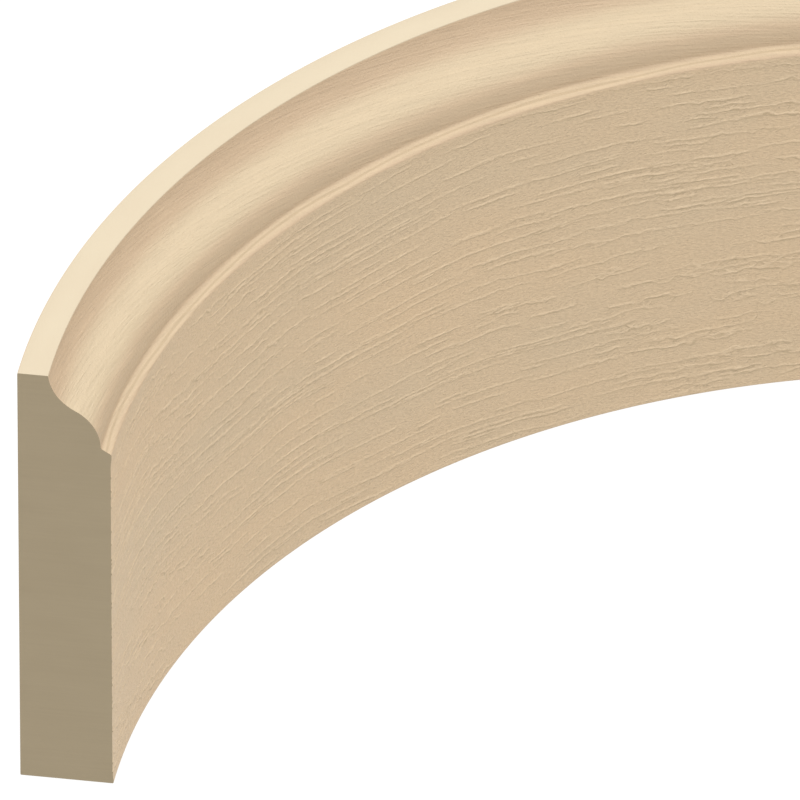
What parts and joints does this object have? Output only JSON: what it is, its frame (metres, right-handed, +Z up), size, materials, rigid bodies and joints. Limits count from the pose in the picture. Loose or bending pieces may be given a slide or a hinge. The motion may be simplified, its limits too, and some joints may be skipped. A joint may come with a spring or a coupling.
{
  "type": "curved baseboard moulding",
  "caption": "Concave curved baseboard with a moulded cove and ogee top edge over a plain wood-grain face; trims the foot of a curved wall.",
  "frame": {"origin": "middle of the rectangle the piece stands in, at floor level", "axes": "+Z up from the bottom edge to the moulded top edge; +X along the chord from the left end to the right end as seen from the room; +Y towards the wall side, so the hollow, grained face looks towards -Y"},
  "size_m": [0.2594, 0.0772, 0.0825],
  "materials": {
    "cast_resin": "unpainted tan cast resin, embossed with wood grain on the room side"
  },
  "bodies": {
    "root": {"baseboard": "cast_resin"}
  },
  "joints": []
}
